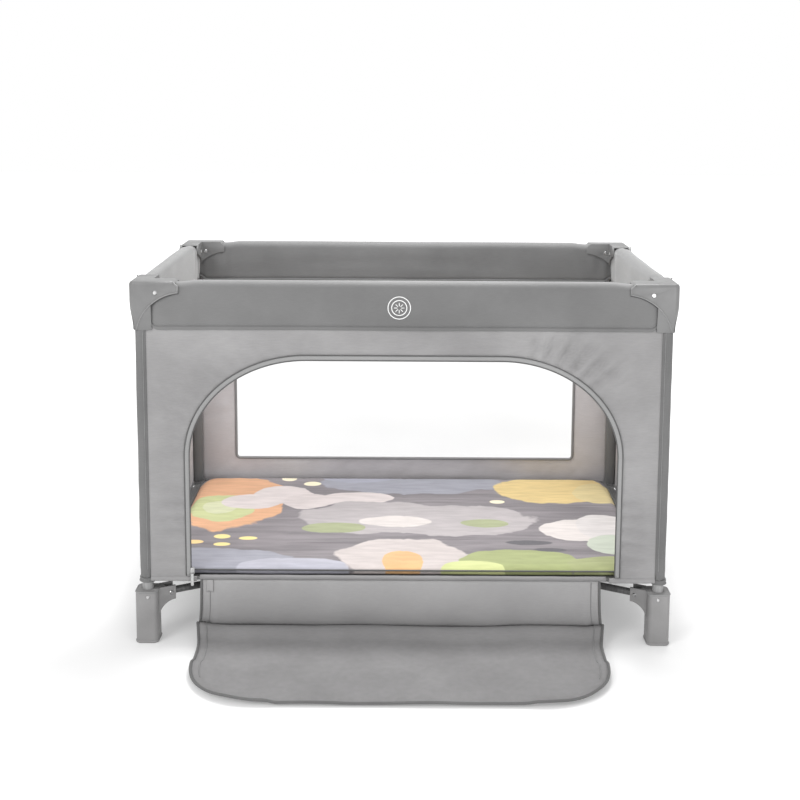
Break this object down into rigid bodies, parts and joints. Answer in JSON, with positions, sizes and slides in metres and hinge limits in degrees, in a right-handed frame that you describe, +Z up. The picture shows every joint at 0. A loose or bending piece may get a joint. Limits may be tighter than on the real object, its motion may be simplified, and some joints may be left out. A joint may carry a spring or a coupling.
{
  "type": "folding playpen",
  "caption": "Rectangular folding playpen with padded hinged top rails, fabric walls with net windows, a padded mattress and a zipped arched front door.",
  "frame": {"origin": "on the floor, under the centre of the hub's foot", "axes": "+X along the long side, to the right seen from the door; +Y from the door wall to the back wall; +Z up"},
  "size_m": [1.204, 1.0029, 0.825],
  "materials": {
    "post_tube": "powder coat",
    "moulded_grey": "fine grain",
    "zinc": "zinc plated",
    "rubber_grey": "matt",
    "moulded_dark": "fine grain",
    "rail_tube": "powder coat",
    "rail_fabric": "woven polyester over padding",
    "button_red": "fine grain",
    "base_tube": "powder coat",
    "wall_fabric": "woven polyester",
    "net": "open knitted net",
    "floor_fabric": "coated woven polyester",
    "mattress_print": "printed woven cotton blend",
    "door_fabric": "woven polyester",
    "zip_metal": "bright"
  },
  "bodies": {
    "corner_front_left": {"post_front_left": "post_tube", "cap_front_left": "moulded_grey", "foot_front_left": "moulded_grey", "pins_front_left": "zinc", "wall_front": "wall_fabric", "wall_left": "wall_fabric", "net_left": "net", "floor_fabric": "floor_fabric"},
    "corner_front_right": {"post_front_right": "post_tube", "cap_front_right": "moulded_grey", "foot_front_right": "moulded_grey", "pins_front_right": "zinc", "wall_right": "wall_fabric", "net_right": "net"},
    "corner_back_right": {"post_back_right": "post_tube", "cap_back_right": "moulded_grey", "foot_back_right": "moulded_grey", "pins_back_right": "zinc"},
    "corner_back_left": {"post_back_left": "post_tube", "cap_back_left": "moulded_grey", "foot_back_left": "moulded_grey", "pins_back_left": "zinc", "wall_back": "wall_fabric", "net_back": "net"},
    "half_rail_front_left": {"rail_front_left": "rail_tube", "cover_front_left": "rail_fabric"},
    "half_rail_front_right": {"rail_front_right": "rail_tube", "cover_front_right": "rail_fabric"},
    "half_rail_back_left": {"rail_back_left": "rail_tube", "cover_back_left": "rail_fabric"},
    "half_rail_back_right": {"rail_back_right": "rail_tube", "cover_back_right": "rail_fabric"},
    "half_rail_left_front": {"rail_left_front": "rail_tube", "cover_left_front": "rail_fabric"},
    "half_rail_left_back": {"rail_left_back": "rail_tube", "cover_left_back": "rail_fabric"},
    "half_rail_right_front": {"rail_right_front": "rail_tube", "cover_right_front": "rail_fabric"},
    "half_rail_right_back": {"rail_right_back": "rail_tube", "cover_right_back": "rail_fabric"},
    "latch_body_front": {"latch_front": "moulded_dark"},
    "button_body_front": {"button_front": "button_red"},
    "latch_body_back": {"latch_back": "moulded_dark"},
    "button_body_back": {"button_back": "button_red"},
    "latch_body_left": {"latch_left": "moulded_dark"},
    "button_body_left": {"button_left": "button_red"},
    "latch_body_right": {"latch_right": "moulded_dark"},
    "button_body_right": {"button_right": "button_red"},
    "base_front_left": {"base_tube_front_left": "base_tube"},
    "base_front_right": {"base_tube_front_right": "base_tube"},
    "base_back_right": {"base_tube_back_right": "base_tube"},
    "base_back_left": {"base_tube_back_left": "base_tube"},
    "hub_body": {"hub": "moulded_dark", "hub_pins": "zinc", "hub_foot": "rubber_grey"},
    "mattress_body": {"mattress": "mattress_print"},
    "door_top": {"door_upper": "door_fabric"},
    "door_end": {"door_lower": "door_fabric"},
    "slider_body": {"zip_slider": "zip_metal"},
    "pull_body": {"zip_pull": "zip_metal"}
  },
  "joints": [
    {"name": "fold", "type": "hinge", "parent": "corner_front_left", "child": "half_rail_front_left", "pos_m": [-0.542, -0.336, 0.8], "axis": [0, 1, 0], "range_deg": [0, 82], "deforming": ["wall_front", "wall_left", "wall_right", "wall_back", "net_left", "net_right", "net_back", "floor_fabric", "mattress", "door_upper", "door_lower", "cover_front_left", "cover_front_right", "cover_back_left", "cover_back_right", "cover_left_front", "cover_left_back", "cover_right_front", "cover_right_back"]},
    {"name": "front_latch_left_pivot", "type": "hinge", "parent": "half_rail_front_left", "child": "latch_body_front", "pos_m": [-0.03, -0.336, 0.8], "axis": [0, 1, 0], "range_deg": [-82, 0]},
    {"name": "front_latch_right_pivot", "type": "hinge", "parent": "latch_body_front", "child": "half_rail_front_right", "pos_m": [0.03, -0.336, 0.8], "axis": [0, 1, 0], "range_deg": [-82, 0]},
    {"name": "front_right_cap_pivot", "type": "hinge", "parent": "half_rail_front_right", "child": "corner_front_right", "pos_m": [0.542, -0.336, 0.8], "axis": [0, 1, 0], "range_deg": [0, 82]},
    {"name": "left_front_cap_pivot", "type": "hinge", "parent": "corner_front_left", "child": "half_rail_left_front", "pos_m": [-0.576, -0.302, 0.8], "axis": [-1, 0, 0], "range_deg": [0, 82]},
    {"name": "left_latch_front_pivot", "type": "hinge", "parent": "half_rail_left_front", "child": "latch_body_left", "pos_m": [-0.576, -0.03, 0.8], "axis": [-1, 0, 0], "range_deg": [-82, 0]},
    {"name": "left_latch_back_pivot", "type": "hinge", "parent": "latch_body_left", "child": "half_rail_left_back", "pos_m": [-0.576, 0.03, 0.8], "axis": [-1, 0, 0], "range_deg": [-82, 0]},
    {"name": "left_back_cap_pivot", "type": "hinge", "parent": "half_rail_left_back", "child": "corner_back_left", "pos_m": [-0.576, 0.302, 0.8], "axis": [-1, 0, 0], "range_deg": [0, 82]},
    {"name": "right_front_cap_pivot", "type": "hinge", "parent": "corner_front_right", "child": "half_rail_right_front", "pos_m": [0.576, -0.302, 0.8], "axis": [-1, 0, 0], "range_deg": [0, 82]},
    {"name": "right_latch_front_pivot", "type": "hinge", "parent": "half_rail_right_front", "child": "latch_body_right", "pos_m": [0.576, -0.03, 0.8], "axis": [-1, 0, 0], "range_deg": [-82, 0]},
    {"name": "right_latch_back_pivot", "type": "hinge", "parent": "latch_body_right", "child": "half_rail_right_back", "pos_m": [0.576, 0.03, 0.8], "axis": [-1, 0, 0], "range_deg": [-82, 0]},
    {"name": "right_back_cap_pivot", "type": "hinge", "parent": "half_rail_right_back", "child": "corner_back_right", "pos_m": [0.576, 0.302, 0.8], "axis": [-1, 0, 0], "range_deg": [0, 82]},
    {"name": "back_left_cap_pivot", "type": "hinge", "parent": "corner_back_left", "child": "half_rail_back_left", "pos_m": [-0.542, 0.336, 0.8], "axis": [0, 1, 0], "range_deg": [0, 82]},
    {"name": "back_latch_left_pivot", "type": "hinge", "parent": "half_rail_back_left", "child": "latch_body_back", "pos_m": [-0.03, 0.336, 0.8], "axis": [0, 1, 0], "range_deg": [-82, 0]},
    {"name": "back_right_cap_pivot", "type": "hinge", "parent": "corner_back_right", "child": "half_rail_back_right", "pos_m": [0.542, 0.336, 0.8], "axis": [0, -1, 0], "range_deg": [0, 82]},
    {"name": "base_front_left_pivot", "type": "hinge", "parent": "corner_front_left", "child": "base_front_left", "pos_m": [-0.53184, -0.31254, 0.104], "axis": [0.4692, -0.8831, 0], "range_deg": [0, 82]},
    {"name": "base_front_right_pivot", "type": "hinge", "parent": "corner_front_right", "child": "base_front_right", "pos_m": [0.53184, -0.31254, 0.104], "axis": [0.4692, 0.8831, 0], "range_deg": [0, 82]},
    {"name": "base_back_right_pivot", "type": "hinge", "parent": "corner_back_right", "child": "base_back_right", "pos_m": [0.53184, 0.31254, 0.104], "axis": [-0.4692, 0.8831, 0], "range_deg": [0, 82]},
    {"name": "base_back_left_pivot", "type": "hinge", "parent": "corner_back_left", "child": "base_back_left", "pos_m": [-0.53184, 0.31254, 0.104], "axis": [-0.4692, -0.8831, 0], "range_deg": [0, 82]},
    {"name": "hub_pivot", "type": "hinge", "parent": "base_front_left", "child": "hub_body", "pos_m": [-0.01984, -0.04054, 0.104], "axis": [0.4692, -0.8831, 0], "range_deg": [-82, 0]},
    {"name": "front_button_press", "type": "slide", "parent": "latch_body_front", "child": "button_body_front", "axis": [0, 0, 1], "range_m": [0, 0.004], "stiffness_N_per_m": 400, "springref_m": -0.002},
    {"name": "back_button_press", "type": "slide", "parent": "latch_body_back", "child": "button_body_back", "axis": [0, 0, 1], "range_m": [0, 0.004], "stiffness_N_per_m": 400, "springref_m": -0.002},
    {"name": "left_button_press", "type": "slide", "parent": "latch_body_left", "child": "button_body_left", "axis": [0, 0, 1], "range_m": [0, 0.004], "stiffness_N_per_m": 400, "springref_m": -0.002},
    {"name": "right_button_press", "type": "slide", "parent": "latch_body_right", "child": "button_body_right", "axis": [0, 0, 1], "range_m": [0, 0.004], "stiffness_N_per_m": 400, "springref_m": -0.002},
    {"name": "mattress_lift", "type": "slide", "parent": "corner_front_left", "child": "mattress_body", "axis": [0, 0, 1], "range_m": [0, 0.95]},
    {"name": "door_swing", "type": "hinge", "parent": "corner_front_left", "child": "door_top", "pos_m": [0, -0.354, 0.15], "axis": [-1, 0, 0], "range_deg": [0, 200.43]},
    {"name": "door_fold", "type": "hinge", "parent": "door_top", "child": "door_end", "pos_m": [0, -0.3, 0.005], "axis": [-1, 0, 0], "range_deg": [-110.44, 0]},
    {"name": "zip_slide", "type": "slide", "parent": "corner_front_left", "child": "slider_body", "axis": [0, 0, 1], "range_m": [0, 0.25]},
    {"name": "zip_pull_swing", "type": "hinge", "parent": "slider_body", "child": "pull_body", "pos_m": [-0.472, -0.35775, 0.163], "axis": [-1, 0, 0], "range_deg": [0, 100]}
  ],
  "couplings": [
    {"joint": "front_latch_left_pivot", "follows": "fold", "ratio": -1},
    {"joint": "front_latch_right_pivot", "follows": "fold", "ratio": -1},
    {"joint": "front_right_cap_pivot", "follows": "fold", "ratio": 1},
    {"joint": "left_front_cap_pivot", "follows": "fold", "ratio": 1},
    {"joint": "left_latch_front_pivot", "follows": "fold", "ratio": -1},
    {"joint": "left_latch_back_pivot", "follows": "fold", "ratio": -1},
    {"joint": "left_back_cap_pivot", "follows": "fold", "ratio": 1},
    {"joint": "right_front_cap_pivot", "follows": "fold", "ratio": 1},
    {"joint": "right_latch_front_pivot", "follows": "fold", "ratio": -1},
    {"joint": "right_latch_back_pivot", "follows": "fold", "ratio": -1},
    {"joint": "right_back_cap_pivot", "follows": "fold", "ratio": 1},
    {"joint": "back_left_cap_pivot", "follows": "fold", "ratio": 1},
    {"joint": "back_latch_left_pivot", "follows": "fold", "ratio": -1},
    {"joint": "back_right_cap_pivot", "follows": "fold", "ratio": 1},
    {"joint": "base_front_left_pivot", "follows": "fold", "ratio": 1},
    {"joint": "base_front_right_pivot", "follows": "fold", "ratio": 1},
    {"joint": "base_back_right_pivot", "follows": "fold", "ratio": 1},
    {"joint": "base_back_left_pivot", "follows": "fold", "ratio": 1},
    {"joint": "hub_pivot", "follows": "fold", "ratio": -1},
    {"joint": "mattress_lift", "follows": "fold", "m_per_rad": 0.64982},
    {"joint": "door_fold", "follows": "door_swing", "ratio": -0.55096}
  ]
}
